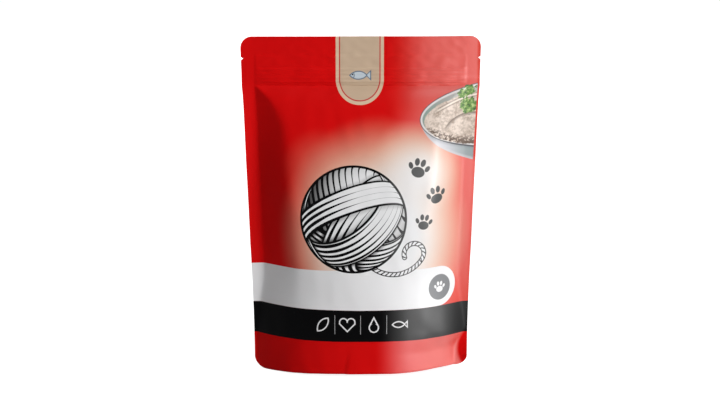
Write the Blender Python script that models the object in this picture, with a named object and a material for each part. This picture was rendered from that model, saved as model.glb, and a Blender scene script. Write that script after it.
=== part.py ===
"""A wet cat food pouch: a full stand-up pouch of laminated film, sealed all round, on a folded base.

Metres, +Z up. The front faces -Y and the origin is on the ground under the middle of the pouch.
Front film, back film, gusset film and food are one closed pack, so they are one solid.
"""

import math

import bmesh
import bpy

# Outline of the film
FILM_WIDTH = 0.095  # flat film, edge to edge
POUCH_HEIGHT = 0.135  # ground to top edge
TOP_CORNER_RADIUS = 0.0045
BASE_CORNER_RADIUS = 0.0048
SIDE_SEAL = 0.005  # width of the welded strip down each side
SEAL_THICKNESS = 0.0005  # front and back film welded together
HEAD_TAPER = 0.0004  # each side, drawn in where the flat head meets the shoulder

# Filled body
FILLED_DEPTH = 0.033  # front to back at the base, where the pouch is fullest
HEAD_HEIGHT = 0.0195  # flat head, from the top edge down to the shoulder crease
SHOULDER_SLOPE = 0.85  # outward per height, just below the shoulder crease
FLANK_SLOPE = 0.70  # outward per width, just inside a side seal
CROWN_POWER = 0.74  # under 1, so that the middle of a wall stands out early below the shoulder
ROUNDEST_POWER = 2.0  # section of the bulge where it is round, a parabola
BOXIEST_POWER = 60.0  # section just below the shoulder, where it is nearly flat with steep ends
PEEL_ROUNDING = 0.0007  # the film leaves the side seal in a small curve
TAPER_FADE = 0.035  # height over which the taper of the head dies out in the body

# Gusset and standing rim
RIM_LIFT = 0.0014  # the film's lower edge stands off the ground by this much in the middle of a wall
RIM_LIFT_FADE = 0.02  # height over which the lift dies out in the wall
RIM_HEIGHT = 0.0045  # top of the weld of wall and gusset, at the middle of a wall
RIM_WALL = 0.0006  # wall film and gusset film welded together
GUSSET_RISE = 0.016  # the gusset climbs to this height at the side seals
BELLY_PRESS = 0.0015  # the food would push the gusset this far below the ground, so it lies flat there

# Pressed band across the flat head, just above the shoulder crease
BAND_HEIGHT = 0.0062
BAND_LIFT = 0.0009  # from the shoulder crease up to the band
BAND_RELIEF = 0.0002  # raised on the front and on the back
BAND_EDGE = 0.0004  # width of its slanted edges

# Tear notches
NOTCH_DROP = 0.0087  # below the top edge
NOTCH_DEPTH = 0.0010
NOTCH_HEIGHT = 0.0014

# Fineness of the mesh
COLUMN_CROWDING = 1.25  # over 1, so that columns stand closer near the side seals
LEVEL_CROWDING = 1.3  # and levels near the shoulder
WELD_SLIVER = 0.7  # share of the weld's thickness that the gusset's rows cross below a side seal
HALF_COLUMNS = 14  # across the bulge, from its middle to a side seal
SEAL_COLUMNS = 2  # across a side seal
BODY_LEVELS = 30
CORNER_LEVELS = 5
GUSSET_LEVELS = 7

SHOULDER_HEIGHT = POUCH_HEIGHT - HEAD_HEIGHT
HALF_SEAL = SEAL_THICKNESS / 2
NOTCH_LEVEL = POUCH_HEIGHT - NOTCH_DROP
BULGE = FILLED_DEPTH / 2 - HALF_SEAL
FREE_FILM = FILM_WIDTH - 2 * SIDE_SEAL


def clear_scene():
    for thing in list(bpy.data.objects):
        bpy.data.objects.remove(thing, do_unlink=True)


def smooth_step(value):
    """0 below 0, 1 above 1, and an even slope-free ramp between."""
    value = min(max(value, 0.0), 1.0)
    return value * value * (3 - 2 * value)


def crown(drop):
    """How far the middle of a wall stands out, at a drop below the shoulder crease.

    It starts as a straight ramp. A soft minimum takes it over into a curve that levels off towards the base.
    """
    share = min(max(drop / SHOULDER_HEIGHT, 0.0), 1.0)
    if share == 0:
        return 0.0
    ramp = SHOULDER_SLOPE * drop
    curve = BULGE * math.sin(math.pi / 2 * share**CROWN_POWER)
    return (ramp**-4 + curve**-4) ** (-1 / 4)


def flank_power(chord, rise):
    """Exponent n of the section 1 - x^n, which meets the side seal at the slope of the flank."""
    power = BOXIEST_POWER if rise == 0 else FLANK_SLOPE * chord / rise
    return min(max(power, ROUNDEST_POWER), BOXIEST_POWER)


def seal_line(height):
    """Half the chord between the side seals. The film there keeps its length, so it narrows as it bulges.

    Half a section of rise r over a chord c is about c + (n r)^2 / 2(2n - 1)c long.
    """
    rise = crown(SHOULDER_HEIGHT - height)
    chord = FREE_FILM / 2
    for _ in range(4):
        power = flank_power(chord, rise)
        chord = FREE_FILM / 2 / (1 + (power * rise / chord) ** 2 / 2 / (2 * power - 1))
    if height > SHOULDER_HEIGHT:
        drawn_in = HEAD_TAPER * smooth_step((POUCH_HEIGHT - height) / HEAD_HEIGHT)
    else:
        drawn_in = HEAD_TAPER * (1 - smooth_step((SHOULDER_HEIGHT - height) / TAPER_FADE))
    return chord - drawn_in


def corner_cut(distance, radius):
    """How far a rounded corner stands in from the side, at a distance from the edge it rounds off."""
    if distance >= radius:
        return 0.0
    return radius - math.sqrt(radius**2 - (radius - distance) ** 2)


def notch_cut(height):
    """How far the tear notch, a small V, reaches in from the side."""
    return NOTCH_DEPTH * max(0.0, 1 - abs(height - NOTCH_LEVEL) / (NOTCH_HEIGHT / 2))


def half_width(height):
    """Half the width of the film's outline."""
    top = corner_cut(POUCH_HEIGHT - height, TOP_CORNER_RADIUS)
    base = corner_cut(height, BASE_CORNER_RADIUS)
    return seal_line(height) + SIDE_SEAL - top - base - notch_cut(height)


def band_relief(x, height):
    """The pressed band stands out from the flat head between the side seals. Its edges are slanted."""
    above = height - SHOULDER_HEIGHT - BAND_LIFT
    inside = min(above, BAND_HEIGHT - above, seal_line(height) - abs(x))
    return BAND_RELIEF * min(max(inside / BAND_EDGE, 0.0), 1.0)


def wall_depth(x, height):
    """Distance from the middle plane to a wall: half the weld, plus the bulge, blended at the side seal."""
    rise = crown(SHOULDER_HEIGHT - height)
    if rise == 0:
        return HALF_SEAL + band_relief(x, height)
    chord = seal_line(height)
    section = rise * (1 - (abs(x) / chord) ** flank_power(chord, rise))
    blend = PEEL_ROUNDING * rise / BULGE
    return HALF_SEAL + (section + math.hypot(section, blend)) / 2


def gusset_height(across, share):
    """Height of the gusset. share is 0 on the middle plane and 1 at the rim.

    The film hangs between rim and middle line, and lies on the ground where it would sink below it.
    """
    rim = RIM_HEIGHT + (GUSSET_RISE - RIM_HEIGHT) * across**4
    middle = (GUSSET_RISE + BELLY_PRESS) * abs(across) ** 3 - BELLY_PRESS
    return max(middle + (rim - middle) * share**2, 0.0)


def lifted(across, height):
    """Height of a point of a wall once the lower edge is lifted in the middle."""
    fade = max(1 - height / RIM_LIFT_FADE, 0.0) ** 2
    return height + RIM_LIFT * max(1 - across**2, 0.0) * fade


def columns():
    """Places across the pouch as pairs: across the bulge (-1 to 1), then across a seal (0 to 1)."""
    bulge = [1 - (1 - i / HALF_COLUMNS) ** COLUMN_CROWDING for i in range(HALF_COLUMNS + 1)]
    seal = [(1.0, i / SEAL_COLUMNS) for i in range(1, SEAL_COLUMNS + 1)]
    right = [(place, 0.0) for place in bulge[1:]] + seal
    left = [(-place, strip) for place, strip in reversed(right)]
    return left + [(0.0, 0.0)] + right


def wall_levels():
    """Heights of the wall's rows from the ground up, closer at the corners and at the shoulder."""
    quarter = [math.pi / 2 * i / CORNER_LEVELS for i in range(CORNER_LEVELS + 1)]
    base = [BASE_CORNER_RADIUS * (1 - math.cos(angle)) for angle in quarter]
    body_run = SHOULDER_HEIGHT - BASE_CORNER_RADIUS
    shares = [1 - (1 - i / BODY_LEVELS) ** LEVEL_CROWDING for i in range(1, BODY_LEVELS + 1)]
    body = [BASE_CORNER_RADIUS + body_run * share for share in shares]
    band_foot = SHOULDER_HEIGHT + BAND_LIFT
    band_top = band_foot + BAND_HEIGHT
    band = [band_foot, band_foot + BAND_EDGE, band_top - BAND_EDGE, band_top]
    notch = [NOTCH_LEVEL + NOTCH_HEIGHT / 2 * i for i in (-1, 0, 1)]
    top = [POUCH_HEIGHT - TOP_CORNER_RADIUS * (1 - math.sin(angle)) for angle in quarter]
    return sorted(base + body + band + notch + top)


def place_x(column, height):
    """X of a column at a height: the bulge's columns spread over the chord, the rest over the seal."""
    across, strip = column
    outline = half_width(height)
    chord = min(seal_line(height), outline - HALF_SEAL / 2)
    side = math.copysign(1.0, across)
    return across * chord + side * strip * (outline - chord)


def gusset_rows():
    """Rows of the underside as functions of a column, from the middle line out to the foot of the rim."""

    def inner_depth(column):
        """Whether a column meets the hollow under the gusset, and how far the underside reaches there."""
        across, strip = column
        hollow = strip == 0 and abs(across) < 1
        wall = wall_depth(place_x(column, 0.0), 0.0)
        return hollow, wall - RIM_WALL if hollow else HALF_SEAL

    def row(share):
        def point(column):
            hollow, depth = inner_depth(column)
            height = gusset_height(column[0], share) if hollow else 0.0
            reach = share if hollow else share * WELD_SLIVER
            return place_x(column, 0.0), depth * reach, height

        return point

    def foot(column):
        hollow, depth = inner_depth(column)
        reach = 1 if hollow else (1 + WELD_SLIVER) / 2
        return place_x(column, 0.0), depth * reach, lifted(column[0], 0.0)

    return [row(i / GUSSET_LEVELS) for i in range(GUSSET_LEVELS + 1)] + [foot]


def wall_row(height):
    def point(column):
        x = place_x(column, height)
        return x, wall_depth(x, height), lifted(column[0], height)

    return point


def pouch_mesh():
    """One closed skin: from the gusset's middle line over the rim and up both walls to the top edge."""
    spread = columns()
    rows = gusset_rows() + [wall_row(height) for height in wall_levels()]
    body = bmesh.new()

    def skin(side):
        """Vertices of the front (side -1) or the back (side 1), row by row."""
        grid = []
        for row in rows:
            points = [row(column) for column in spread]
            grid.append([body.verts.new((x, side * y, z)) for x, y, z in points])
        return grid

    front = skin(-1)
    back = skin(1)
    back[0] = front[0]  # the two halves of the gusset share its middle line
    for lower, upper in zip(front, front[1:]):
        for i in range(len(spread) - 1):
            body.faces.new((lower[i], lower[i + 1], upper[i + 1], upper[i]))
    for lower, upper in zip(back, back[1:]):
        for i in range(len(spread) - 1):
            body.faces.new((lower[i + 1], lower[i], upper[i], upper[i + 1]))
    for i in range(len(spread) - 1):
        body.faces.new((front[-1][i], front[-1][i + 1], back[-1][i + 1], back[-1][i]))
    for j in range(len(rows) - 1):
        left = [front[j][0], front[j + 1][0], back[j + 1][0], back[j][0]]
        right = [back[j][-1], back[j + 1][-1], front[j + 1][-1], front[j][-1]]
        body.faces.new(list(dict.fromkeys(left)))
        body.faces.new(list(dict.fromkeys(right)))
    loose = [vert for vert in body.verts if not vert.link_faces]
    bmesh.ops.delete(body, geom=loose, context="VERTS")
    bmesh.ops.recalc_face_normals(body, faces=body.faces)
    mesh = bpy.data.meshes.new("pouch")
    body.to_mesh(mesh)
    body.free()
    return mesh


def film_material():
    """Printed laminate film: a deep red print under a satin lacquer."""
    film = bpy.data.materials.new("printed_film")
    film.use_nodes = True
    shader = film.node_tree.nodes["Principled BSDF"]
    shader.inputs["Base Color"].default_value = (0.52, 0.012, 0.014, 1.0)
    shader.inputs["Roughness"].default_value = 0.38
    shader.inputs["Metallic"].default_value = 0.0
    return film


def make_pouch():
    mesh = pouch_mesh()
    mesh.materials.append(film_material())
    mesh.shade_smooth()
    mesh.set_sharp_from_angle(angle=math.radians(35))
    pouch = bpy.data.objects.new("pouch", mesh)
    bpy.context.scene.collection.objects.link(pouch)
    return pouch


clear_scene()
make_pouch()
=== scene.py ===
import bpy
import numpy as np
from math import cos, hypot, pi, radians, sin, tau
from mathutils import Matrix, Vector


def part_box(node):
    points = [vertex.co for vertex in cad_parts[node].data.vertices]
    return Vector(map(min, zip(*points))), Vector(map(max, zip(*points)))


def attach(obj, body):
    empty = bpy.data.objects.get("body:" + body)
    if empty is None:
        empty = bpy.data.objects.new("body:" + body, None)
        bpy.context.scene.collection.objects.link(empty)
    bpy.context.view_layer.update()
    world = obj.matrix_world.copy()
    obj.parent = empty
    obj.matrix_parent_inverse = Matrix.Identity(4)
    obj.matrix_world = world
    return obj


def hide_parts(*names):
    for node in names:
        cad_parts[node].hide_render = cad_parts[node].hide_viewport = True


# A wet cat food pouch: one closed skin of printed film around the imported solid.
# Lengths are in millimetres, and become metres when a mesh or a light is made.
# On the film, u runs across from the middle along the surface, and h is the height.

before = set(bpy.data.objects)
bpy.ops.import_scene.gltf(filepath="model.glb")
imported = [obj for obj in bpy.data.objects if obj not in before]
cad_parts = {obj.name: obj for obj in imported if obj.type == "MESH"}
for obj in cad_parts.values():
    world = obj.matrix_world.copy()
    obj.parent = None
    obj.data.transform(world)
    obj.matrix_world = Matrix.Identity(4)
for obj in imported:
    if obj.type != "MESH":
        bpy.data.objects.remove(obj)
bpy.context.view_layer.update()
mm = 0.001
low, high = [np.array(corner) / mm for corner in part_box("pouch")]
print("Frame loaded:", sorted(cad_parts), "size in mm", np.round(high - low, 1))

# Shape of the film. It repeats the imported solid's driving sizes, and adds those of the wall that is seen.
film = {
    "height": high[2] - low[2],
    "cutWidth": 95.0,  # flat film from edge to edge
    "sideSeal": 5.0,
    "seal": 0.5,  # thickness of two films welded together
    "topCorner": 4.5,
    "baseCorner": 4.8,
    "headHeight": 19.5,  # flat head above the shoulder crease
    "headTaper": 0.4,
    "taperFade": 35.0,
    "shoulderSlope": 0.85,
    "flankSlope": 0.70,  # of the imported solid
    "seenSlopes": (0.55, 0.95),  # of the straight flanks that are seen, at the shoulder and lower down
    "slopeRange": (112.0, 70.0),  # heights of those two
    "facetEdge": 10.0,  # how sharply a flank bends into the front
    "facetRange": (22.0, 75.0),  # heights from which the flanks begin and are full
    "facetLeast": 0.2,  # share of them at the foot
    "seenRamp": 1.05,  # of the seen shoulder
    "fillPower": 0.55,  # how soon the seen wall fills out under the shoulder
    "seenFall": 0.3,  # how far the seen front falls off to the sides
    "footSpread": 4.0,  # at the foot the bulge runs out over the side seals
    "footPower": 2.7,
    "footRange": (12.0, 44.0),
    "flatCorner": (8.0, 17.0),  # heights up to which the lower right corner stays flat
    "crownPower": 0.74,
    "roundest": 2.0,  # exponent of the section at its roundest
    "boxiest": 60.0,
    "peel": 0.7,
    "rimLift": 1.4,
    "rimLiftFade": 20.0,
    "rightLift": 0.9,  # how much higher the lower edge stands on the right
    "rightRange": (0.3, 0.9),  # shares of the half width between which it grows
    "rimHeight": 4.5,
    "rimWall": 0.6,
    "hollowLeast": 0.04,  # half width of the gusset's hollow where it runs out
    "gussetRise": 16.0,
    "bellyPress": 1.5,
    "notchDrop": 8.7,
    "notchDepth": 1.0,
    "notchHeight": 1.4,
}
film["bulge"] = (high[1] - low[1]) / 2 - film["seal"] / 2
film["shoulder"] = film["height"] - film["headHeight"]
film["free"] = film["cutWidth"] / 2 - film["sideSeal"]

# How finely the film is divided
grid = {
    "halfColumns": 80,  # across half the bulge
    "sealColumns": 8,  # across one side seal
    "bodyLevels": 150,
    "headLevels": 60,
    "cornerLevels": 12,
    "gussetLevels": 16,
    "columnCrowding": 1.1,  # over 1: closer columns near the side seals
    "levelCrowding": 1.12,
    "leastStep": 0.12,  # from a level of the head to one of the notch
    "weldShares": (0.70, 0.85),  # rows under a side seal, as shares of its half thickness
}

# Pressed lines, folds and dents of the film, outwards in millimetres
relief = {
    "bandFoot": 0.9,  # pressed band above the shoulder crease
    "bandHeight": 6.2,
    "bandOut": 0.28,
    "bandEdge": 0.4,  # width of its slanted edges
    "bandEnd": 3.0,  # width over which it dies out at the side seals
    "bandLines": 4,
    "lineOut": 0.09,
    "headPuff": 0.16,
    "puffFade": (1.2, 1.6),  # widths at its sides and at its top
    "puffOver": 2.0,  # its top above the notches
    "puffWave": (0.6, 12.0, 3),  # share, size and seed
    "headRipple": (0.045, 5.0, 5),  # height, size and seed
    "headCrest": 14.0,  # x of the line from which the head bows
    "headBow": (-0.5, 1.4),  # how far behind that line its left and right edges stand, below zero in front
    "headWave": (0.12, 8.5, 0.6),  # height, length over tau, and phase
    "edgeBend": (-0.9, 1.0),  # how far the left and right side seals turn back, below zero forward
    "edgeSway": (0.25, 13.0, 1.2),
    "cornerCurl": 1.8,  # how far the lower right corner turns forward
    "curlHeights": (5.0, 9.0, 25.0),  # full from the first to the second, and gone at the third
    "wrinkle": 0.14,
    "wrinkleSizes": (21.0, 10.0),  # of the slow and the finer waves
    "wrinkleFade": (0.16, 9.0),  # share of the half width at the side seals, and height at the shoulder
    "pucker": 0.10,  # gathers under the shoulder crease
    "puckerSize": 9.0,
    "puckerPlace": (3.0, 3.2),  # how far under the crease, and how wide
    "seeds": (11, 29),  # of the front and of the back
    "cornerDent": 0.4,
    "cornerCrease": ((37.0, 2.0), (22.0, 24.0), 3.0),  # from x and z to x and z, and width
    "flankDent": 0.2,
    "flankCrease": ((36.0, 55.0), (30.0, 96.0), 3.5),
    "creaseFade": 0.45,  # share of a crease's length, at both ends
    "baseFold": 0.45,
    "foldPlace": (-6.0, 0.12),  # x at the ground, and lean to the right
    "foldWidths": (2.4, 11.0),  # of its step, and of the run back
    "foldTop": (2.0, 15.0),  # heights between which it dies out
    "rimTuck": 0.5,  # how far the lower edge curls under
    "tuckHeight": 0.9,
    "pressedSeal": 0.05,  # how much thinner a wall's half of a seal may be pressed
}


# Smooth step 3t^2 - 2t^3 of a value held between 0 and 1
def ease(value):
    t = np.clip(value, 0.0, 1.0)
    return t * t * (3 - 2 * t)


# Eased from 0 at the value start to 1 at end, which may also be lower
def rising(value, start, end):
    return ease((value - start) / (end - start))


# Bell exp(-(t / w)^2)
def hump(value, width):
    return np.exp(-((value / width) ** 2))


# Rise of a wall's middle under the shoulder: the soft minimum (r^-4 + k^-4)^(-1/4)
# of the ramp r = slope * drop and the curve k = bulge * sin(pi/2 * share^power).
def crown(drop, slope=film["shoulderSlope"], power=film["crownPower"]):
    share = np.clip(drop / film["shoulder"], 1e-9, 1.0)
    ramp = slope * np.maximum(drop, 1e-9)
    curve = film["bulge"] * np.sin(pi / 2 * share**power)
    return np.where(drop > 0, (ramp**-4 + curve**-4) ** -0.25, 0.0)


# Exponent n = slope * chord / rise of the section 1 - |x / chord|^n
def flankPower(chord, rise):
    power = film["flankSlope"] * chord / np.maximum(rise, 1e-6)
    return np.clip(power, film["roundest"], film["boxiest"])


# Half the chord c between the side seals, solved from c (1 + (n r / c)^2 / (2 (2n - 1))) = free film
def sealLine(height):
    rise = crown(film["shoulder"] - height)
    chord = np.full_like(rise, film["free"])
    for _ in range(4):
        power = flankPower(chord, rise)
        chord = film["free"] / (1 + (power * rise / chord) ** 2 / 2 / (2 * power - 1))
    above = ease((film["height"] - height) / film["headHeight"])
    below = 1 - ease((film["shoulder"] - height) / film["taperFade"])
    return chord - film["headTaper"] * np.where(height > film["shoulder"], above, below)


# Inset r - sqrt(r^2 - (r - d)^2) of a round corner at a distance d from the edge
def cornerCut(distance, radius):
    reach = np.clip(radius - distance, 0.0, radius)
    return radius - np.sqrt(radius**2 - reach**2)


# Half the outline: seal line plus seal, less the round corners and the V of the tear notch
def halfWidth(height):
    notch = np.abs(height - film["height"] + film["notchDrop"]) / (film["notchHeight"] / 2)
    outline = sealLine(height) + film["sideSeal"]
    outline = outline - cornerCut(film["height"] - height, film["topCorner"])
    outline = outline - cornerCut(height, film["baseCorner"])
    return outline - film["notchDepth"] * np.clip(1 - notch, 0.0, 1.0)


# Distance of a wall from the middle plane: (s + sqrt(s^2 + b^2)) / 2 over its section s
def wallDepth(section, rise):
    blend = film["peel"] * rise / film["bulge"]
    return film["seal"] / 2 + (section + np.hypot(section, blend)) / 2


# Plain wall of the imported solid, with the section r (1 - |x / c|^n). The print is measured along it.
def packedDepth(x, height):
    rise = crown(film["shoulder"] - height)
    chord = sealLine(height)
    return wallDepth(rise * (1 - np.abs(x / chord) ** flankPower(chord, rise)), rise)


# Half the chord of the bulge that is seen. At the foot it is wider, but for the flat right corner.
def seenLine(height, hand):
    corner = (hand > 0) * (1 - rising(height, *film["flatCorner"]))
    foot = 1 - rising(height, *film["footRange"])
    return sealLine(height) + film["footSpread"] * foot * (1 - corner)


# Wall that is seen. At the foot it is round, r (1 - |x / c|^n). Higher up it is the soft minimum
# (f^-p + k^-p)^(-1/p) of a straight flank f = slope (c - |x|) and a crown k = r (1 - fall (x / c)^2).
def facetDepth(x, height):
    chord = seenLine(height, np.sign(x))
    rise = crown(film["shoulder"] - height, film["seenRamp"], film["fillPower"]) + 0 * x
    first, last = film["seenSlopes"]
    slope = first + (last - first) * rising(height, *film["slopeRange"])
    flank = slope * (chord - np.abs(x))
    top = np.maximum(rise * (1 - film["seenFall"] * (x / chord) ** 2), 1e-3)
    sharp = film["facetEdge"]
    soft = (np.maximum(flank, 1e-3) ** -sharp + top**-sharp) ** (-1 / sharp)
    facet = wallDepth(np.where(rise > 0, np.minimum(soft, flank), 0.0), rise)
    rise = crown(film["shoulder"] - height)
    power = flankPower(sealLine(height), rise)
    power = power + (film["footPower"] - power) * (1 - rising(height, *film["footRange"]))
    full = wallDepth(rise * (1 - np.minimum(np.abs(x / chord), 1.2) ** power), rise)
    least = film["facetLeast"]
    share = least + (1 - least) * rising(height, *film["facetRange"])
    return full * (1 - share) + facet * share


# Mean of sines with seeded headings and phases, each about one size long
def waves(x, z, size, seed, count=9):
    draw = np.random.default_rng(seed).uniform((0, 0, 0.7), (pi, tau, 1.4), (count, 3))
    total = np.zeros(np.broadcast(x, z).shape)
    for heading, phase, stretch in draw:
        total = total + np.sin(tau / (size * stretch) * (x * cos(heading) + z * sin(heading)) + phase)
    return total / count**0.5


# Bell across the line from start to end, fading out at both ends
def crease(x, z, start, end, width):
    runX, runZ = end[0] - start[0], end[1] - start[1]
    length = hypot(runX, runZ)
    along = ((x - start[0]) * runX + (z - start[1]) * runZ) / length**2
    across = ((z - start[1]) * runX - (x - start[0]) * runZ) / length
    fade = relief["creaseFade"]
    return hump(across, width) * ease(along / fade) * ease((1 - along) / fade)


# Pressed band with slanted edges and fine raised lines, and the puffed film above it
def headRelief(x, z):
    above = z - film["shoulder"] - relief["bandFoot"]
    side = sealLine(z) - np.abs(x)
    level = np.minimum(above, relief["bandHeight"] - above) / relief["bandEdge"]
    plate = np.clip(np.minimum(level, side / relief["bandEnd"]), 0.0, 1.0)
    lines = 0.5 - 0.5 * np.cos(tau * relief["bandLines"] * above / relief["bandHeight"])
    sideFade, topFade = relief["puffFade"]
    top = film["height"] - film["notchDrop"] + relief["puffOver"]
    puff = ease(side / sideFade) * ease((top - z) / topFade)
    share, size, seed = relief["puffWave"]
    puff = puff * (1 + share * waves(x, z, size, seed))
    height, size, seed = relief["headRipple"]
    ripple = height * waves(x, z, size, seed) * ease(side / relief["bandEnd"])
    return plate * (relief["bandOut"] + relief["lineOut"] * lines**3) + ripple + relief["headPuff"] * puff


# Wrinkles and dents of a filled wall, which die out at the side seals and at the shoulder
def bodyRelief(x, z, side):
    sideFade, topFade = relief["wrinkleFade"]
    inner = ease((1 - np.abs(x) / seenLine(z, np.sign(x))) / sideFade)
    under = film["shoulder"] - z
    seed = relief["seeds"][side > 0]
    large, small = relief["wrinkleSizes"]
    slow = 0.7 * waves(x, z, large, seed) + 0.3 * waves(x * 1.5, z * 0.6, small, seed + 1)
    drop, width = relief["puckerPlace"]
    pucker = waves(x, z * 0.25, relief["puckerSize"], seed + 2) * hump(under - drop, width)
    slow = relief["wrinkle"] * slow * ease(under / topFade)
    out = inner * (slow + relief["pucker"] * pucker * ease(under))
    for hand in (-1, 1):
        out = out - relief["cornerDent"] * crease(hand * x, z, *relief["cornerCrease"])
        out = out - relief["flankDent"] * crease(hand * x, z, *relief["flankCrease"]) * inner
    return out


# Fold at the foot of the front wall: the film right of it steps out and runs back in
def footFold(x, z):
    place, lean = relief["foldPlace"]
    rise, run = relief["foldWidths"]
    across = x - place - lean * z
    step = ease((across + rise / 2) / rise) * hump(np.maximum(across, 0.0), run)
    return relief["baseFold"] * step * (1 - rising(z, *relief["foldTop"]))


# Slow bend of the flat film: the head bows, the side seals turn and wave, and one corner curls
def sway(x, z):
    head = ease((z - film["shoulder"] + 2.0) / 6.0)
    across = x - relief["headCrest"]
    reach = film["free"] - np.sign(across) * relief["headCrest"]
    height, length, phase = relief["headWave"]
    bow = np.where(across < 0, *relief["headBow"]) * (across / reach) ** 2
    bow = bow + height * np.sin(x / length + phase)
    strip = np.clip((np.abs(x) - seenLine(z, np.sign(x))) / film["sideSeal"], 0.0, 1.0) ** 1.3
    height, length, phase = relief["edgeSway"]
    wave = np.where(x < 0, *relief["edgeBend"]) * (1 - 0.6 * head)
    wave = wave + height * np.sin(z / length + phase * np.sign(x))
    full, *fade = relief["curlHeights"]
    curl = relief["cornerCurl"] * (x > 0) * ease(z / full) * (1 - rising(z, *fade))
    return bow * head + strip * (wave * ease(z / 14.0) - curl)


# The lower edge is lifted in the middle and on the right: z + lift (1 - z / fade)^2
def lifted(across, height):
    fade = np.clip(1 - height / film["rimLiftFade"], 0.0, 1.0) ** 2
    right = film["rightLift"] * rising(across, *film["rightRange"])
    return height + (film["rimLift"] * np.clip(1 - across**2, 0.0, 1.0) + right) * fade


# Columns as two arrays: the place across the bulge, -1 to 1, and across a side seal, 0 to 1
def spreadColumns():
    steps = 1 - (1 - np.linspace(0.0, 1.0, grid["halfColumns"] + 1)) ** grid["columnCrowding"]
    strip = np.linspace(0.0, 1.0, grid["sealColumns"] + 1)[1:]
    across = np.concatenate([steps[1:], np.ones_like(strip)])
    seal = np.concatenate([np.zeros(len(steps) - 1), strip])
    return np.concatenate([-across[::-1], [0.0], across]), np.concatenate([seal[::-1], [0.0], seal])


# Heights of a wall's rows, closer at the corners, the shoulder and the notch
def spreadLevels():
    quarter = np.linspace(0.0, pi / 2, grid["cornerLevels"] + 1)
    base = film["baseCorner"] * (1 - np.cos(quarter))
    steps = 1 - (1 - np.linspace(0.0, 1.0, grid["bodyLevels"] + 1)[1:]) ** grid["levelCrowding"]
    body = film["baseCorner"] + (film["shoulder"] - film["baseCorner"]) * steps
    head = np.linspace(film["shoulder"], film["height"] - film["topCorner"], grid["headLevels"] + 1)[1:-1]
    notch = film["height"] - film["notchDrop"] + film["notchHeight"] / 2 * np.linspace(-1.0, 1.0, 5)
    head = head[np.min(np.abs(head[:, None] - notch), axis=1) > grid["leastStep"]]
    top = film["height"] - film["topCorner"] * (1 - np.sin(quarter))
    return np.sort(np.concatenate([base, body, head, notch, top]))


# X of a column: across times the chord over the bulge, then on to the outline over the seal
def placeX(across, strip, height):
    outline = halfWidth(height)
    chord = np.minimum(seenLine(height, np.sign(across)), outline - film["seal"] / 8)
    return across * chord + np.sign(across) * strip * (outline - chord)


# Length along the film from the middle of each row
def lengthAcross(x, y):
    step = np.hypot(np.diff(x, axis=1), np.diff(y, axis=1))
    run = np.concatenate([np.zeros((len(x), 1)), np.cumsum(step, axis=1)], axis=1)
    return run - run[:, [x.shape[1] // 2]]


# One wall from the foot up, as x, y, z and u. Side is -1 for the front and 1 for the back.
def wallRows(side):
    across, strip = spreadColumns()
    level = spreadLevels()[:, None]
    x = placeX(across, strip, level)
    out = np.where(level > film["shoulder"], headRelief(x, level), bodyRelief(x, level, side))
    if side < 0:
        out = out + np.where(level > film["shoulder"], 0.0, footFold(x, level))
    out = out - relief["rimTuck"] * np.clip(1 - level / relief["tuckHeight"], 0.0, 1.0) ** 2
    depth = np.maximum(facetDepth(x, level) + out, film["seal"] / 2 - relief["pressedSeal"])
    u = lengthAcross(x, packedDepth(x, level))
    return x, side * depth + sway(x, level), lifted(across, level) + 0 * x, u


# Half the underside, from its middle line out to the inner foot of the rim. The film hangs
# from the rim in to the middle line, m + (r - m) t^2, and lies flat where it meets the ground.
def underRows(side, footX, footY, footZ):
    across, strip = spreadColumns()
    share = np.linspace(0.0, 1.0, grid["gussetLevels"] + 1)[:, None]
    hollow = (strip == 0) & (np.abs(across) < 1)
    weldEnd, weldLast = grid["weldShares"]
    hollowReach = np.maximum(side * footY - film["rimWall"], film["hollowLeast"])
    reach = np.where(hollow, hollowReach, weldEnd * side * footY)
    rim = film["rimHeight"] + (film["gussetRise"] - film["rimHeight"]) * across**4
    middle = (film["gussetRise"] + film["bellyPress"]) * np.abs(across) ** 3 - film["bellyPress"]
    height = np.where(hollow, np.maximum(middle + (rim - middle) * share**2, 0.0), footZ)
    last = np.where(hollow, reach, weldLast * side * footY)
    x = np.vstack([footX + 0 * share, footX])
    return x, side * np.vstack([reach * share, last]), np.vstack([height, footZ])


# Faces between two rows of corners, given as four arrays of point numbers
def quads(a, b, c, d):
    return np.stack([a, b, c, d], axis=-1).reshape(-1, 4)


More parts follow.
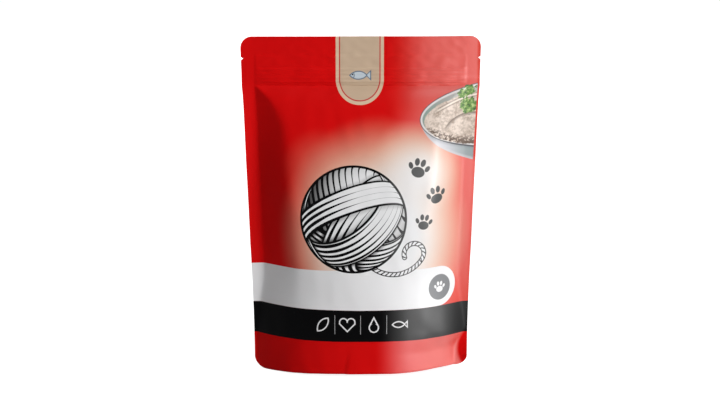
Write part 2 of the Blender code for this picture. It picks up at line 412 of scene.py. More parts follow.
# Both walls and both halves of the underside as one closed skin, with a place on the film
# (u, h, side) at each point. Under the rim h goes on below zero.
def buildFilm():
    halves = []
    for side in (-1, 1):
        x, y, z, u = wallRows(side)
        under = underRows(side, x[0], y[0], z[0])
        rows = [np.vstack(pair) for pair in zip(under, (x, y, z))]
        u = np.vstack([under[0], u])
        h = np.vstack([-0.3 - np.abs(under[1][-1] - under[1]), z])
        halves.append(rows + [u, h, np.full_like(u, side)])
    front, back = halves
    for part in range(6):
        front[part][0] = back[part][0] = (front[part][0] + back[part][0]) / 2
    rows, columns = front[0].shape
    points = np.stack([np.concatenate([a.ravel(), b[1:].ravel()]) for a, b in zip(front, back)], axis=1)
    f = np.arange(rows * columns).reshape(rows, columns)
    b = f + (rows - 1) * columns
    b[0] = f[0]
    faces = [
        quads(f[:-1, :-1], f[:-1, 1:], f[1:, 1:], f[1:, :-1]),
        quads(b[:-1, 1:], b[:-1, :-1], b[1:, :-1], b[1:, 1:]),
        quads(f[-1, :-1], f[-1, 1:], b[-1, 1:], b[-1, :-1]),
        quads(f[1:-1, 0], f[2:, 0], b[2:, 0], b[1:-1, 0]),
        quads(b[1:-1, -1], b[2:, -1], f[2:, -1], f[1:-1, -1]),
    ]
    ends = [[f[0, 0], f[1, 0], b[1, 0]], [f[0, -1], b[1, -1], f[1, -1]]]
    mesh = bpy.data.meshes.new("pouch_film")
    mesh.from_pydata((points[:, :3] * mm).tolist(), [], np.concatenate(faces).tolist() + ends)
    place = mesh.attributes.new("filmPlace", "FLOAT_VECTOR", "POINT")
    place.data.foreach_set("vector", points[:, 3:].astype(np.float32).ravel())
    mesh.shade_smooth()
    mesh.set_sharp_from_angle(angle=radians(55))
    mesh.update()
    piece = bpy.data.objects.new("pouch_film", mesh)
    bpy.context.scene.collection.objects.link(piece)
    return piece


pouchFilm = buildFilm()
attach(pouchFilm, "root")
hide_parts("pouch")
print("Film built:", len(pouchFilm.data.vertices), "points,", len(pouchFilm.data.polygons), "faces")


# A socket that can stand in a sum
class Wire:
    def __init__(self, sheet, socket):
        self.sheet = sheet
        self.socket = socket

    def __add__(self, other):
        return self.sheet.math("ADD", self, other)

    __radd__ = __add__

    def __sub__(self, other):
        return self.sheet.math("SUBTRACT", self, other)

    def __rsub__(self, other):
        return self.sheet.math("SUBTRACT", other, self)

    def __mul__(self, other):
        return self.sheet.math("MULTIPLY", self, other)

    __rmul__ = __mul__

    def __truediv__(self, other):
        return self.sheet.math("DIVIDE", self, other)

    def __abs__(self):
        return self.sheet.math("ABSOLUTE", self)

    def __gt__(self, other):
        return self.sheet.math("GREATER_THAN", self, other)

    def __lt__(self, other):
        return self.sheet.math("LESS_THAN", self, other)


# One material's nodes, added one by one
class Sheet:
    def __init__(self, name):
        self.material = bpy.data.materials.new(name)
        self.material.use_nodes = True
        self.tree = self.material.node_tree
        self.tree.nodes.clear()

    # Any node: its settings first, then the values or links of its sockets
    def node(self, kind, settings, inputs, output=0):
        made = self.tree.nodes.new(kind)
        for name, value in settings.items():
            setattr(made, name, value)
        for name, value in inputs.items():
            socket = made.inputs[name]
            if isinstance(value, Wire):
                self.tree.links.new(value.socket, socket)
            elif socket.type == "RGBA":
                socket.default_value = (*value, 1.0)
            else:
                socket.default_value = value
        return Wire(self, made.outputs[output]) if made.outputs else made

    def math(self, operation, *values):
        return self.node("ShaderNodeMath", {"operation": operation}, dict(enumerate(values)))

    def least(self, first, *others):
        for other in others:
            first = self.math("MINIMUM", first, other)
        return first

    def most(self, first, *others):
        for other in others:
            first = self.math("MAXIMUM", first, other)
        return first

    def root(self, value):
        return self.math("SQRT", self.most(value, 0.0))

    # Length sqrt(a^2 + b^2)
    def reach(self, a, b):
        return self.math("SQRT", self.math("MULTIPLY_ADD", a, a, b * b))

    def vector(self, x, y, z=0.0):
        return self.node("ShaderNodeCombineXYZ", {}, {0: x, 1: y, 2: z})

    # Colour under where the share is 0 and over where it is 1
    def blend(self, under, over, share):
        return self.node("ShaderNodeMix", {"data_type": "RGBA"}, {0: share, 6: under, 7: over}, 2)

    # Eased from 0 at the value start to 1 at end, and held beyond
    def ramp(self, value, start, end, smooth=True):
        kind = "SMOOTHSTEP" if smooth else "LINEAR"
        inputs = {"Value": value, "From Min": start, "From Max": end}
        return self.node("ShaderNodeMapRange", {"interpolation_type": kind}, inputs)

    def noise(self, place, scale, detail=2.0, roughness=0.5):
        inputs = {"Vector": place, "Scale": scale, "Detail": detail, "Roughness": roughness}
        return self.node("ShaderNodeTexNoise", {}, inputs)

    # Full inside a shape, where its distance is below 0, with an edge one soft width wide
    def inside(self, distance, soft=0.12):
        return self.ramp(distance, soft / 2, -soft / 2, smooth=False)

    # Ink laid over a colour inside a shape
    def paint(self, under, ink, distance, soft=0.12):
        return self.blend(under, ink, self.inside(distance, soft))


# Places and distances on the film, all in millimetres
class Press:
    def __init__(self, sheet, u, h):
        self.sheet = sheet
        self.u = u
        self.h = h

    # The same film seen from a centre, turned anticlockwise by degrees, in a unit's lengths
    def at(self, centreU, centreH, turn=0.0, unit=1.0):
        a, b = self.u - centreU, self.h - centreH
        if turn or unit != 1.0:
            c, s = cos(radians(turn)) / unit, sin(radians(turn)) / unit
            a, b = a * c + b * s, b * c - a * s
        return Press(self.sheet, a, b)

    def mirrored(self):
        return Press(self.sheet, abs(self.u), self.h)

    def disc(self, radius):
        return self.sheet.reach(self.u, self.h) - radius

    def ellipse(self, radiusU, radiusH):
        stretched = self.sheet.reach(self.u * (1 / radiusU), self.h * (1 / radiusH))
        return (stretched - 1) * min(radiusU, radiusH)

    # Long ellipse, its distance evened out by its slope: (s - 1) / |grad s|
    def oval(self, radiusU, radiusH):
        stretched = self.sheet.reach(self.u * (1 / radiusU), self.h * (1 / radiusH))
        slope = self.sheet.reach(self.u * (1 / radiusU**2), self.h * (1 / radiusH**2))
        return (stretched - 1) * stretched / self.sheet.most(slope, 1e-4)

    # Band between two heights
    def between(self, foot, top):
        return abs(self.h - (foot + top) / 2) - (top - foot) / 2

    # Rectangle with round corners: length(max(|p| - half + r, 0)) - r
    def panel(self, halfU, halfH, corner):
        a = self.sheet.most(abs(self.u) - (halfU - corner), 0.0)
        b = self.sheet.most(abs(self.h) - (halfH - corner), 0.0)
        return self.sheet.reach(a, b) - corner

    # Lens of two equal circles whose centres stand half a step off either side of the long axis
    def lens(self, length, width):
        step = (length**2 - width**2) / (4 * width)
        return self.sheet.reach(self.u, abs(self.h) + step) - hypot(length / 2, step)

    # Distance to an arc of a circle about the centre, round at both ends
    def arc(self, radius, fromAngle, toAngle):
        half = radians(toAngle - fromAngle) / 2
        turned = self.at(0.0, 0.0, (fromAngle + toAngle) / 2 - 90).mirrored()
        past = turned.u * cos(half) > turned.h * sin(half)
        end = self.sheet.reach(turned.u - sin(half) * radius, turned.h - cos(half) * radius)
        along = abs(self.sheet.reach(turned.u, turned.h) - radius)
        return along + past * (end - along)

    # Straight stroke from the centre up, round at both ends
    def stroke(self, length, width):
        b = self.h - self.sheet.math("MINIMUM", self.sheet.most(self.h, 0.0), length)
        return self.sheet.reach(self.u, b) - width / 2


# Print. Sizes in millimetres, places as (u, h), colours as linear values.
inks = {
    "red": (0.700, 0.0040, 0.0045),
    "white": (0.86, 0.86, 0.87),
    "warmWhite": (0.87, 0.86, 0.58),  # in the thin parts of the glow
    "black": (0.0012, 0.0012, 0.0015),
    "grey": (0.150, 0.155, 0.165),
    "tan": (0.60, 0.45, 0.32),
    "tabEdge": (0.72, 0.54, 0.38),
    "line": (0.55, 0.05, 0.05),
    "slate": (0.13, 0.19, 0.26),
    "belly": (0.55, 0.62, 0.68),
    "panel": (0.78, 0.76, 0.73),
    "rule": (0.45, 0.45, 0.46),
}
bands = {
    "black": (14.8, 27.5),
    "white": (27.5, 43.4),
    "whiteEnds": (-60.0, 41.1),  # u, the left one past the side seal
    "disc": (33.5, 35.0),
    "discSize": 5.1,
    "discMark": 3.0,
}


# Paw print in a unit of its own: one pad and four toes
def pawDistance(press):
    sheet = press.sheet
    half = press.mirrored()
    pad = half.at(0.0, -0.28).ellipse(0.52, 0.40)
    toes = (half.at(0.24, 0.46, -8).ellipse(0.19, 0.29), half.at(0.66, 0.10, -28).ellipse(0.17, 0.26))
    return sheet.least(pad, *toes)


# Fish lying along u: a lens for the body and a wedge for the tail
def fishDistance(press):
    sheet = press.sheet
    body = press.at(-0.12, 0.0).lens(1.6, 0.78)
    fin = sheet.most(abs(press.h) + 0.62 - press.u - 0.12, press.u - 0.98, 0.55 - press.u)
    return sheet.least(body, fin)


# Heart from a turned square and two circles, point down
def heartDistance(press):
    sheet = press.sheet
    half = press.mirrored()
    lobe = half.at(0.42, 0.32).disc(0.5)
    wedge = sheet.most((half.u - half.h) * 0.7071 - 0.57, half.h - 0.42, half.u + half.h - 1.1)
    return sheet.least(lobe, wedge)


# Drop: a circle with two tangents to a tip
def dropDistance(press):
    sheet = press.sheet
    half = press.mirrored()
    belly = half.at(0.0, -0.28).disc(0.58)
    lean = radians(27)
    cone = sheet.most(half.u * cos(lean) + (half.h - 1.0) * sin(lean), -0.02 - half.h)
    return sheet.least(belly, cone)


# Leaf: a lens turned to the right
def leafDistance(press):
    return press.at(0.0, 0.0, 50).lens(2.1, 1.05)


# Lower right corner, which lies flat and out of the haze: both the coat's real reflection and the painted
# sheen are kept off it
flatPatch = {
    "middle": (49.0, 8.0),
    "size": (5.6, 8.4),
    "edge": (-0.5, 1.2),
}


# 0 on the flat lower right corner and 1 elsewhere
def cornerMask(press):
    return press.sheet.ramp(press.at(*flatPatch["middle"]).ellipse(*flatPatch["size"]), *flatPatch["edge"])


glow = {
    "middle": (8.0, 55.7),
    "size": (29.0, 33.7),
    "edge": (1.5, 0.45),  # where it begins and is full, in its own sizes
    "spots": (  # round ones: middle, distances where they begin and are full, and strength
        ((23.5, 82.5), (23.0, 2.0), 0.90),
        ((-16.0, 84.0), (17.0, 3.0), 0.09),
    ),
    "foot": (30.0, 40.0),  # heights between which it sets in, behind the white band
    "paintedSheen": 0.07,  # painted sheen: share of white laid over the red on the right, standing in for a highlight
    "paintedSheenEdge": (8.0, 34.0),
}


# Red field with its printed white glow in the middle and towards the right, and a painted sheen of white
# over the red on the right that stands in for a highlight
def layField(press):
    sheet = press.sheet
    spot = press.at(*glow["middle"])
    a, b = glow["size"]
    clear = 1 - sheet.ramp(sheet.reach(spot.u * (1 / a), spot.h * (1 / b)), *glow["edge"])
    for middle, edge, strength in glow["spots"]:
        clear = clear * (1 - sheet.ramp(press.at(*middle).disc(0.0), *edge) * strength)
    # Painted sheen: white laid over the red towards the right, off the flat lower right corner, standing in
    # for a highlight
    paintedSheen = sheet.ramp(press.u, *glow["paintedSheenEdge"]) * cornerMask(press) * glow["paintedSheen"]
    above = sheet.ramp(press.h, *glow["foot"])
    share = sheet.most((1 - clear) * above, paintedSheen)
    pale = sheet.blend(inks["warmWhite"], inks["white"], share * share)
    return sheet.blend(inks["red"], pale, share)


# Glazed dish. An oval is a centre with its turn in degrees, and then two radii.
bowl = {
    "rimMiddle": (71.5, 104.7, 2.6),
    "rim": (48.2, 14.8),
    "bodyMiddle": (83.6, 103.0),
    "body": (60.0, 22.4),
    "bodyTop": 103.0,
    "cropped": 46.3,  # u at which it is cut off
    "glaze": ((0.66, 0.65, 0.69), (0.27, 0.32, 0.33)),  # of the body, on the left and on the right
    "glazeEdge": (30.0, 46.0),  # u
    "shadow": (0.10, 0.13, 0.14),  # under the rim
    "shadowWidth": 1.6,
    "footLight": (0.70, 0.68, 0.70),
    "footEdge": (-1.4, -0.3),
    "outline": (0.07, 0.07, 0.08),
    "outlineAdded": 0.35,  # width that it gains along the lower right, between the next u and heights
    "outlineEdges": ((28.0, 42.0), (100.0, 94.0)),
    "lip": (0.76, 0.73, 0.72),
    "inside": ((0.26, 0.34, 0.30), (0.46, 0.44, 0.42)),  # inner wall, low and high
    "insideEdge": (106.0, 113.0),
    "steps": (0.12, -0.18, -0.95),  # outline, lip and inner wall, outwards from the rim's oval
}


# Full left of the line where the dish is cut off
def dishKept(press):
    return press.sheet.inside(press.u - bowl["cropped"])


# Distances to the rim's oval and to the body that hangs from it
def dishShapes(press):
    rim = press.at(*bowl["rimMiddle"]).oval(*bowl["rim"])
    body = press.at(*bowl["bodyMiddle"]).oval(*bowl["body"])
    return rim, press.sheet.most(body, press.h - bowl["bodyTop"])


# Dish in the upper right: its body, a dark outline, the pale lip and the inner wall
def layDish(press, colour):
    sheet = press.sheet
    kept = dishKept(press)
    rim, body = dishShapes(press)
    glaze = sheet.blend(*bowl["glaze"], sheet.ramp(press.u, *bowl["glazeEdge"]))
    glaze = sheet.blend(glaze, bowl["shadow"], sheet.ramp(rim, bowl["shadowWidth"], 0.0) * 0.4)
    glaze = sheet.blend(glaze, bowl["footLight"], sheet.ramp(body, *bowl["footEdge"]) * 0.5)
    colour = sheet.blend(colour, glaze, sheet.inside(body, 0.2) * kept)
    outline, lip, wall = bowl["steps"]
    across, below = bowl["outlineEdges"]
    heavy = sheet.ramp(press.u, *across) * sheet.ramp(press.h, *below) * bowl["outlineAdded"]
    colour = sheet.blend(colour, bowl["outline"], sheet.inside(rim - outline - heavy, 0.25) * kept)
    colour = sheet.blend(colour, bowl["lip"], sheet.inside(rim - lip, 0.2) * kept)
    inner = sheet.blend(*bowl["inside"], sheet.ramp(press.h, *bowl["insideEdge"]))
    return sheet.blend(colour, inner, sheet.inside(rim - wall, 0.3) * kept)


food = {
    "middle": (57.4, 102.7, 1.6),
    "size": (32.4, 11.4),
    "ragged": 1.4,
    "pate": ((0.44, 0.34, 0.27), (0.78, 0.66, 0.57)),  # in the dips and on the lumps
    "lumps": (0.38, 2.0),  # noise: scale, detail and roughness
    "specks": (1.1, 3.0, 0.65),
    "crumbs": (0.85, 2.0, 0.6),
    "scoopMiddle": (43.5, 99.2, 8),
    "scoop": (10.2, 5.6),
    "scoopShade": (0.16, 0.11, 0.08),
    "scoopEdge": (98.0, 100.5),  # heights between which its shadow sets in
    "groove": (30.0, 106.0, 0.56, 0.012),  # first u and h, slope and bend
    "grooveHalf": 0.28,
    "grooveLight": (0.90, 0.80, 0.70),
    "grooveSides": (0.65, 0.25),  # distance of its dark sides, and their half width
    "grooveShade": (0.22, 0.14, 0.10),
    "crumb": (0.11, 0.065, 0.04),
    "crumbEdge": (-5.0, -1.0),  # distances inside the food's edge
    "crumbTop": (101.0, 98.0),
    "crumbHeap": (44.0, 92.6),
    "crumbHeapEdge": (5.0, 1.0),
}


# Food in the dish: mottled, with a scooped hollow, a pale groove, and dark crumbs along its lower edge
def layFood(press, colour, place):
    sheet = press.sheet
    kept = dishKept(press)
    speck = sheet.noise(place, *food["specks"])
    lump = sheet.noise(place, *food["lumps"])
    edge = press.at(*food["middle"]).oval(*food["size"])
    whole = sheet.inside(edge + (lump - 0.5) * food["ragged"], 0.3) * kept
    colour = sheet.blend(colour, sheet.blend(*food["pate"], sheet.ramp(speck + lump, 0.75, 1.2)), whole)
    scoop = press.at(*food["scoopMiddle"]).ellipse(*food["scoop"])
    hollow = sheet.ramp(scoop, -1.6, 0.0) * sheet.inside(scoop, 0.3) * kept
    hollow = hollow * sheet.ramp(press.h, *food["scoopEdge"])
    colour = sheet.blend(colour, food["scoopShade"], hollow * 0.95)
    u, h, slope, bend = food["groove"]
    run = press.u - u
    groove = abs(press.h - h - run * slope + run * run * bend)
    line = sheet.inside(groove - food["grooveHalf"], 0.3) * sheet.ramp(press.u, 29.0, 31.0) * kept
    colour = sheet.blend(colour, food["grooveLight"], line * 0.9)
    away, half = food["grooveSides"]
    sides = sheet.inside(abs(groove - away) - half, 0.3) * sheet.ramp(press.u, 29.0, 32.0) * kept
    colour = sheet.blend(colour, food["grooveShade"], sides * 0.6)
    near = sheet.ramp(edge, *food["crumbEdge"]) * sheet.ramp(press.h, *food["crumbTop"]) * whole
    heap = sheet.ramp(press.at(*food["crumbHeap"]).disc(0.0), *food["crumbHeapEdge"])
    crumbs = sheet.ramp(sheet.noise(place, *food["crumbs"]) + near * 0.16 + heap * 0.12, 0.60, 0.68)
    return sheet.blend(colour, food["crumb"], crumbs * near)


leaves = {
    "bunches": (((42.0, 113.0, 22), (4.0, 2.0)), ((43.0, 107.6, -20), (3.6, 3.3))),
    "frill": 5.0,
    "noise": (0.75, 3.0, 0.6),
    "greens": ((0.02, 0.06, 0.01), (0.10, 0.24, 0.03), (0.48, 0.60, 0.22)),
    "levels": (0.36, 0.46, 0.66),  # of the noise, one for each green
}


# Two bunches of curly leaves on the food
def layLeaves(press, colour, place):
    sheet = press.sheet
    frill = sheet.noise(place, *leaves["noise"])
    bunch = sheet.least(*[press.at(*middle).ellipse(*size) for middle, size in leaves["bunches"]])
    whole = sheet.inside(bunch + (frill - 0.5) * leaves["frill"], 0.3) * dishKept(press)
    dark, green, light = leaves["greens"]
    first, second, third = leaves["levels"]
    green = sheet.blend(dark, green, sheet.ramp(frill, first, second))
    green = sheet.blend(green, light, sheet.ramp(frill, second, third))
    return sheet.blend(colour, green, whole)


ball = {
    "middle": (-3.0, 64.0),
    "radius": 21.0,
    "strands": 17.0,
    "outline": 0.45,
    "light": (0.50, 0.45, 0.74),
    "shadeEdge": (0.95, 0.05),
    "border": 0.022,  # in radii, as is the shadow beside a belt
    "shadow": 0.13,
    "bundles": (  # heading and lean of the axis in degrees, middle and half width of the belt
        (20, 10, 0.0, 2.0),
        (75, 30, -0.30, 0.40),
        (-35, 20, 0.35, 0.33),
        (130, 35, 0.10, 0.30),
        (10, 55, -0.42, 0.26),
        (-70, 15, -0.12, 0.25),
    ),
}


# Ball of yarn in ink: belts of strands around a sphere. The latitude about a belt's axis
# gives its strands, and lines grow thicker away from the light.
def layBall(press, colour):
    sheet = press.sheet
    local = press.at(*ball["middle"], 0.0, ball["radius"])
    flat = sheet.reach(local.u, local.h)
    depth = sheet.root(1 - flat * flat)
    point = sheet.vector(local.u, local.h, depth)
    a, b, c = ball["light"]
    shade = sheet.ramp(local.u * a + local.h * b + depth * c, *ball["shadeEdge"])
    ink = 0.0
    for order, (heading, lean, middle, halfWidth) in enumerate(ball["bundles"]):
        heading, lean = radians(heading), radians(lean)
        axis = (cos(heading) * cos(lean), sin(heading) * cos(lean), sin(lean))
        dot = sheet.node("ShaderNodeVectorMath", {"operation": "DOT_PRODUCT"}, {0: point, 1: axis}, 1)
        latitude = dot - middle
        wave = sheet.math("COSINE", latitude * (ball["strands"] * tau / 2))
        strand = sheet.ramp(wave, 0.97 - shade * 1.25, 1.02 - shade * 1.15, smooth=False)
        if order == 0:
            ink = sheet.most(strand, shade * 0.9)
            continue
        edge = abs(latitude) - halfWidth
        border = sheet.inside(abs(edge) - ball["border"], 0.012)
        cast = sheet.ramp(edge, ball["shadow"], 0.0) * (edge > 0.0)
        ink = sheet.most(ink, cast * (0.35 + 0.65 * shade))
        belt = edge < 0.0
        ink = ink + belt * (sheet.most(strand, border) - ink)
        ink = sheet.most(ink, border)
    outline = sheet.inside(abs(flat - 1.0) * ball["radius"] - ball["outline"])
    disc = sheet.inside((flat - 1.0) * ball["radius"])
    colour = sheet.blend(colour, sheet.blend(inks["white"], inks["black"], ink), disc)
    return sheet.blend(colour, inks["black"], outline)


tail = {
    "dip": (13.5, 56.3, 14.5, 232, 322),  # centre u and h, radius, from and to angle
    "curl": (21.6, 50.0, 4.2, -38, 200),
    "half": 0.75,  # half the cord's width
    "border": 0.3,
    "core": 0.1,
    "twist": (3.6, 3.0),  # along the cord and across it
}


# Loose end of the yarn: two arcs drawn as a white cord with black sides and slanted twist lines
def layTail(press, colour):
    sheet = press.sheet
    along, across = tail["twist"]
    for u, h, radius, start, end in (tail["dip"], tail["curl"]):
        local = press.at(u, h)
        side = sheet.reach(local.u, local.h) - radius
        distance = local.arc(radius, start, end) - tail["half"]
        angle = sheet.math("ARCTAN2", local.h, local.u)
        twist = sheet.math("SINE", angle * (radius * along) + side * across)
        cord = sheet.blend(inks["white"], inks["black"], sheet.ramp(twist, 0.25, 0.75))
        colour = sheet.paint(colour, inks["black"], distance - tail["border"])
        colour = sheet.paint(colour, cord, distance + tail["core"])
    return colour


# White band with a round right end, and the black band under it
def layBands(press, colour):
    sheet = press.sheet
    foot, top = bands["white"]
    left, right = bands["whiteEnds"]
    radius = (top - foot) / 2
    white = press.at((left + right) / 2, (foot + top) / 2).panel((right - left) / 2, radius, radius - 0.1)
    colour = sheet.paint(colour, inks["white"], white)
    return sheet.paint(colour, inks["black"], press.between(*bands["black"]))


paws = {
    "places": ((23.0, 84.0), (30.5, 73.0), (25.5, 62.5)),
    "sizes": (5.2, 4.8, 4.3),
    "turns": (-14, 12, -8),
}


# Three black paw prints beside the ball, and a white one on the grey disc
def layPaws(press, colour):
    sheet = press.sheet
    for place, size, turn in zip(paws["places"], paws["sizes"], paws["turns"]):
        paw = pawDistance(press.at(*place, turn, size))
        colour = sheet.paint(colour, inks["black"], paw, 0.03)
    disc = press.at(*bands["disc"]).disc(bands["discSize"])
    colour = sheet.paint(colour, inks["grey"], disc)
    mark = pawDistance(press.at(*bands["disc"], 0.0, bands["discMark"]))
    return sheet.paint(colour, inks["white"], mark, 0.04)


symbols = {
    "shapes": (leafDistance, heartDistance, dropDistance, fishDistance),
    "places": (-15.4, -5.4, 5.2, 15.7),
    "height": 21.6,
    "size": 3.6,
    "line": 0.5,
    "rules": (-10.4, -0.1, 10.4),
    "rule": (7.4, 0.22),  # length and width
}


# Plain outlines on the black band, with a thin upright rule between them
def laySymbols(press, colour):
    sheet = press.sheet
    half = symbols["line"] / symbols["size"] / 2
    for u, shape in zip(symbols["places"], symbols["shapes"]):
        distance = shape(press.at(u, symbols["height"], 0.0, symbols["size"]))
        colour = sheet.paint(colour, inks["white"], abs(distance + half) - half, 0.04)
    for u in symbols["rules"]:
        rule = press.at(u, symbols["height"] - symbols["size"]).stroke(*symbols["rule"])
        colour = sheet.paint(colour, inks["rule"], rule, 0.1)
    return colour


tab = {
    "middle": -0.4,
    "halfWidth": 9.5,
    "foot": 108.5,
    "reachUp": 40.0,  # half its height, so that it runs off the top edge
    "border": 1.3,
    "line": 0.45,
    "markHeight": 119.6,
    "markSize": 4.6,
}


# Tan tab hanging from the top edge, with a thin red line inside its border and a plain fish
def layTab(press, colour):
    sheet = press.sheet
    local = press.at(tab["middle"], tab["foot"] + tab["reachUp"])
    shape = local.panel(tab["halfWidth"], tab["reachUp"], tab["halfWidth"] - 0.1)
    colour = sheet.paint(colour, inks["tabEdge"], shape)
    colour = sheet.paint(colour, inks["tan"], shape + tab["border"])
    ring = abs(shape + tab["border"] + tab["line"] / 2) - tab["line"] / 2
    colour = sheet.paint(colour, inks["line"], ring)
    mark = press.at(tab["middle"], tab["markHeight"], 0.0, tab["markSize"])
    fish = fishDistance(mark)
    gill = abs(mark.at(-0.9, 0.0).disc(0.42)) - 0.035
    belly = sheet.inside(fish + 0.09, 0.03) * (1 - sheet.inside(gill, 0.03))
    colour = sheet.paint(colour, inks["slate"], fish, 0.03)
    colour = sheet.blend(colour, inks["belly"], belly)
    return sheet.paint(colour, inks["black"], mark.at(-0.62, 0.07).disc(0.065), 0.02)


# Front of the pouch, layer on layer
def layFront(press, place):
    colour = layField(press)
    colour = layDish(press, colour)
    colour = layFood(press, colour, place)
    colour = layLeaves(press, colour, place)
    colour = layBands(press, colour)
    colour = layTail(press, colour)
    colour = layBall(press, colour)
    colour = layPaws(press, colour)
    colour = laySymbols(press, colour)
    return layTab(press, colour)


card = {
    "middle": (0.0, 71.0),
    "half": (29.0, 33.0),
    "corner": 3.0,
    "inset": 1.4,  # of the red line
    "lineHalf": 0.2,
    "haze": 60.0,  # radius of the paler red around it
    "hazeShare": 0.12,
    "trim": 28.6,  # top of the thin white line over the black band
}


# Back of the pouch: the black band goes round, and a bare pale panel has a thin red line
def layBack(press):
    sheet = press.sheet
    haze = sheet.ramp(press.at(0.0, 70.0).disc(0.0), card["haze"], 0.0) * card["hazeShare"]
    colour = sheet.blend(inks["red"], inks["white"], haze)
    foot, top = bands["black"]
    colour = sheet.paint(colour, inks["black"], press.between(foot, top))
    colour = sheet.paint(colour, inks["white"], press.between(top, card["trim"]))
    shape = press.at(*card["middle"]).panel(*card["half"], card["corner"])
    colour = sheet.paint(colour, inks["panel"], shape)
    return sheet.paint(colour, inks["line"], abs(shape + card["inset"]) - card["lineHalf"])


# Lacquer over the print. Its share grows towards the right of the front.
gloss = {
    "ink": 0.03,
    "ior": 2.1,
    "roughness": 0.44,
    "body": 0.60,
    "foot": 1.0,
    "bands": 0.46,
    "back": 0.22,
    "start": 5.0,
    "full": 21.0,
    "highStart": 8.0,  # how much further right it starts in the head
    "highEdge": (92.0, 112.0),
    "darkStart": 2.5,  # and on the black band
    "dish": 0.45,  # taken off on the dish
    "side": 0.7,  # taken off at the lower right
    "sideEdges": ((34.0, 44.0), (46.0, 24.0), (12.5, 16.0)),  # u, and heights from above and below
    "edge": (0.35, 0.60),  # taken off at the right edge, and added there from the dish up
    "edgeStart": (45.6, 46.8),
    "edgeRise": (84.0, 88.0),
}


# Share of the lacquer on the front by place: less on the dark band, the dish and the lower right
def layGloss(press):
    sheet = press.sheet
    low = sheet.inside(press.h - bands["black"][0], 0.3)
    dark = sheet.inside(press.between(*bands["black"]), 0.3)
    shift = sheet.ramp(press.h, *gloss["highEdge"]) * gloss["highStart"] + dark * gloss["darkStart"]
    level = sheet.ramp(press.u - shift, gloss["start"], gloss["full"])
    plain = gloss["body"]
    strength = plain + low * (gloss["foot"] - plain) + dark * (gloss["bands"] - plain)
    across, above, below = gloss["sideEdges"]
    side = sheet.ramp(press.u, *across) * sheet.ramp(press.h, *above) * sheet.ramp(press.h, *below)
    least, added = gloss["edge"]
    taken = least + added * sheet.ramp(press.h, *gloss["edgeRise"])
    edge = sheet.ramp(press.u, *gloss["edgeStart"]) * taken
    dish = sheet.inside(sheet.least(*dishShapes(press)), 0.4) * gloss["dish"]
    return level * strength * (1 - side * gloss["side"]) * (1 - edge) * cornerMask(press) * (1 - dish)


surface = {
    "grain": 1.6,
    "grainHeight": 0.012,
    "dimple": 0.22,
    "dimpleHeight": 0.05,
    "roughness": 0.44,
    "roughSpread": 0.12,
    "ior": 1.5,
    "backAway": 20.0,  # distance of the back's noise from the front's
}


# Satin printed film
def makeFilmMaterial():
    sheet = Sheet("printed_film")
    spot = sheet.node("ShaderNodeAttribute", {"attribute_name": "filmPlace"}, {}, 1)
    split = sheet.tree.nodes.new("ShaderNodeSeparateXYZ")
    sheet.tree.links.new(spot.socket, split.inputs[0])
    u, h, side = [Wire(sheet, socket) for socket in split.outputs]
    press = Press(sheet, u, h)
    place = sheet.vector(u, h, side * surface["backAway"])
    colour = sheet.blend(layFront(press, place), layBack(press), side > 0.0)
    colour = sheet.blend(colour, inks["red"], h < 0.0)
    grain = sheet.noise(place, surface["grain"], 3.0, 0.55)
    dimple = sheet.noise(place, surface["dimple"], 2.0, 0.5)
    rough = surface["roughness"] + (dimple - 0.5) * surface["roughSpread"]
    bumps = grain * surface["grainHeight"] + dimple * surface["dimpleHeight"]
    frontGloss = layGloss(press)
    coat = sheet.math("MULTIPLY_ADD", side > 0.0, gloss["back"] - frontGloss, frontGloss)
    bump = sheet.node("ShaderNodeBump", {}, {"Strength": 1.0, "Distance": mm, "Height": bumps})
    shader = sheet.node("ShaderNodeBsdfPrincipled", {}, {
        "Base Color": colour,
        "Roughness": rough,
        "Normal": bump,
        "IOR": surface["ior"],
        "Specular IOR Level": gloss["ink"],
        "Coat Weight": coat,
        "Coat Roughness": gloss["roughness"],
        "Coat IOR": gloss["ior"],
    })
    sheet.node("ShaderNodeOutputMaterial", {}, {0: shader})
    return sheet.material


pouchFilm.data.materials.append(makeFilmMaterial())
print("Film material made:", len(pouchFilm.data.materials[0].node_tree.nodes), "nodes")

# Pale floor that curves up far behind, and the studio light
studio = {
    "rings": (150.0, 600.0),  # radii of the floor's inner rings
    "floorRadius": 2600.0,
    "wallHeight": 900.0,
    "bend": 500.0,
    "floorColour": (0.55, 0.55, 0.55),
    "floorGlow": 0.90,
    "world": 0.06,
    "lamps": (  # name, azimuth from the front to the right, height, distance, width, tall, watts
        ("key", 55.0, 170.0, 900.0, 340.0, 300.0, 4.6),
        ("front", 32.0, 170.0, 900.0, 300.0, 300.0, 1.0),
        ("top", 38.0, 1400.0, 800.0, 1000.0, 800.0, 9.4),
        ("back", 205.0, 450.0, 900.0, 500.0, 400.0, 6.0),
    ),
    "aim": (0.0, 0.0, 70.0),
}
view = {
    "elevation": 12.5,
    "distance": 1000.0,
    "target": (0.0, 0.0, 68.0),
    "focal": 2503.0,  # in pixels of the picture's width
    "pixels": 720.0,
    "offset": 0.8,
}


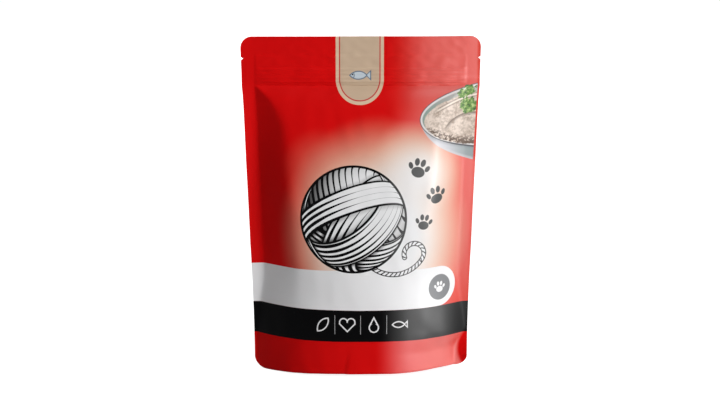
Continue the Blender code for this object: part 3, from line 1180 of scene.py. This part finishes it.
# Floor as a profile turned round the upright axis: flat, a quarter circle, then a wall
def buildFloor():
    turn = np.linspace(0.0, tau, 97)[:-1]
    quarter = np.linspace(0.0, pi / 2, 13)
    bend = studio["bend"]
    radius = np.concatenate([studio["rings"], studio["floorRadius"] + bend * (np.sin(quarter) - 1)])
    height = np.concatenate([[0.0, 0.0], bend * (1 - np.cos(quarter))])
    radius = np.append(radius, studio["floorRadius"])
    height = np.append(height, bend + studio["wallHeight"])
    x, y = radius[:, None] * np.cos(turn), radius[:, None] * np.sin(turn)
    ring = np.stack([x, y, height[:, None] + 0 * turn], axis=-1)
    points = np.concatenate([ring.reshape(-1, 3), [[0.0, 0.0, 0.0]]]) * mm
    n = np.arange(len(radius) * len(turn)).reshape(len(radius), len(turn))
    after = np.roll(n, -1, axis=1)
    faces = quads(n[:-1], n[1:], after[1:], after[:-1]).tolist()
    faces += [[len(points) - 1, a, b] for a, b in zip(n[0].tolist(), after[0].tolist())]
    mesh = bpy.data.meshes.new("floor")
    mesh.from_pydata(points.tolist(), [], faces)
    mesh.shade_smooth()
    mesh.update()
    floor = bpy.data.objects.new("floor", mesh)
    bpy.context.scene.collection.objects.link(floor)
    sheet = Sheet("pale_floor")
    rays = ("Is Camera Ray", "Is Glossy Ray", "Is Transmission Ray")
    seen = [sheet.node("ShaderNodeLightPath", {}, {}, ray) for ray in rays]
    plain = sheet.node("ShaderNodeBsdfDiffuse", {}, {"Color": studio["floorColour"]})
    bright = sheet.node("ShaderNodeEmission", {}, {"Strength": sheet.most(*seen) * studio["floorGlow"]})
    both = sheet.node("ShaderNodeAddShader", {}, {0: plain, 1: bright})
    sheet.node("ShaderNodeOutputMaterial", {}, {0: both})
    mesh.materials.append(sheet.material)
    return floor


# Turn that points an object's -Z from one place to another
def aimed(place, target):
    return (Vector(target) - Vector(place)).to_track_quat("-Z", "Y")


def addLamp(name, azimuth, height, distance, width, tall, watts):
    lamp = bpy.data.lights.new(name, "AREA")
    lamp.shape = "RECTANGLE"
    lamp.size = width * mm
    lamp.size_y = tall * mm
    lamp.energy = watts
    holder = bpy.data.objects.new(name, lamp)
    place = (distance * sin(radians(azimuth)), -distance * cos(radians(azimuth)), height)
    holder.location = Vector(place) * mm
    holder.rotation_mode = "QUATERNION"
    holder.rotation_quaternion = aimed(place, studio["aim"])
    bpy.context.scene.collection.objects.link(holder)


def addCamera():
    camera = bpy.data.objects.new("camera", bpy.data.cameras.new("camera"))
    camera.data.sensor_width = 36.0
    camera.data.lens = view["focal"] / view["pixels"] * camera.data.sensor_width
    camera.data.shift_x = -view["offset"] / view["pixels"]
    camera.data.clip_end = 20.0
    lean = radians(view["elevation"])
    place = Vector(view["target"]) + view["distance"] * Vector((0.0, -cos(lean), sin(lean)))
    camera.location = place * mm
    camera.rotation_mode = "QUATERNION"
    camera.rotation_quaternion = aimed(place, view["target"])
    bpy.context.scene.collection.objects.link(camera)
    bpy.context.scene.camera = camera


buildFloor()
for lampSizes in studio["lamps"]:
    addLamp(*lampSizes)
world = bpy.data.worlds.new("studio")
world.use_nodes = True
world.node_tree.nodes["Background"].inputs["Color"].default_value = (1.0, 1.0, 1.0, 1.0)
world.node_tree.nodes["Background"].inputs["Strength"].default_value = studio["world"]
bpy.context.scene.world = world
addCamera()
bpy.context.scene.view_settings.view_transform = "Standard"
print("Floor, lamps and camera placed")
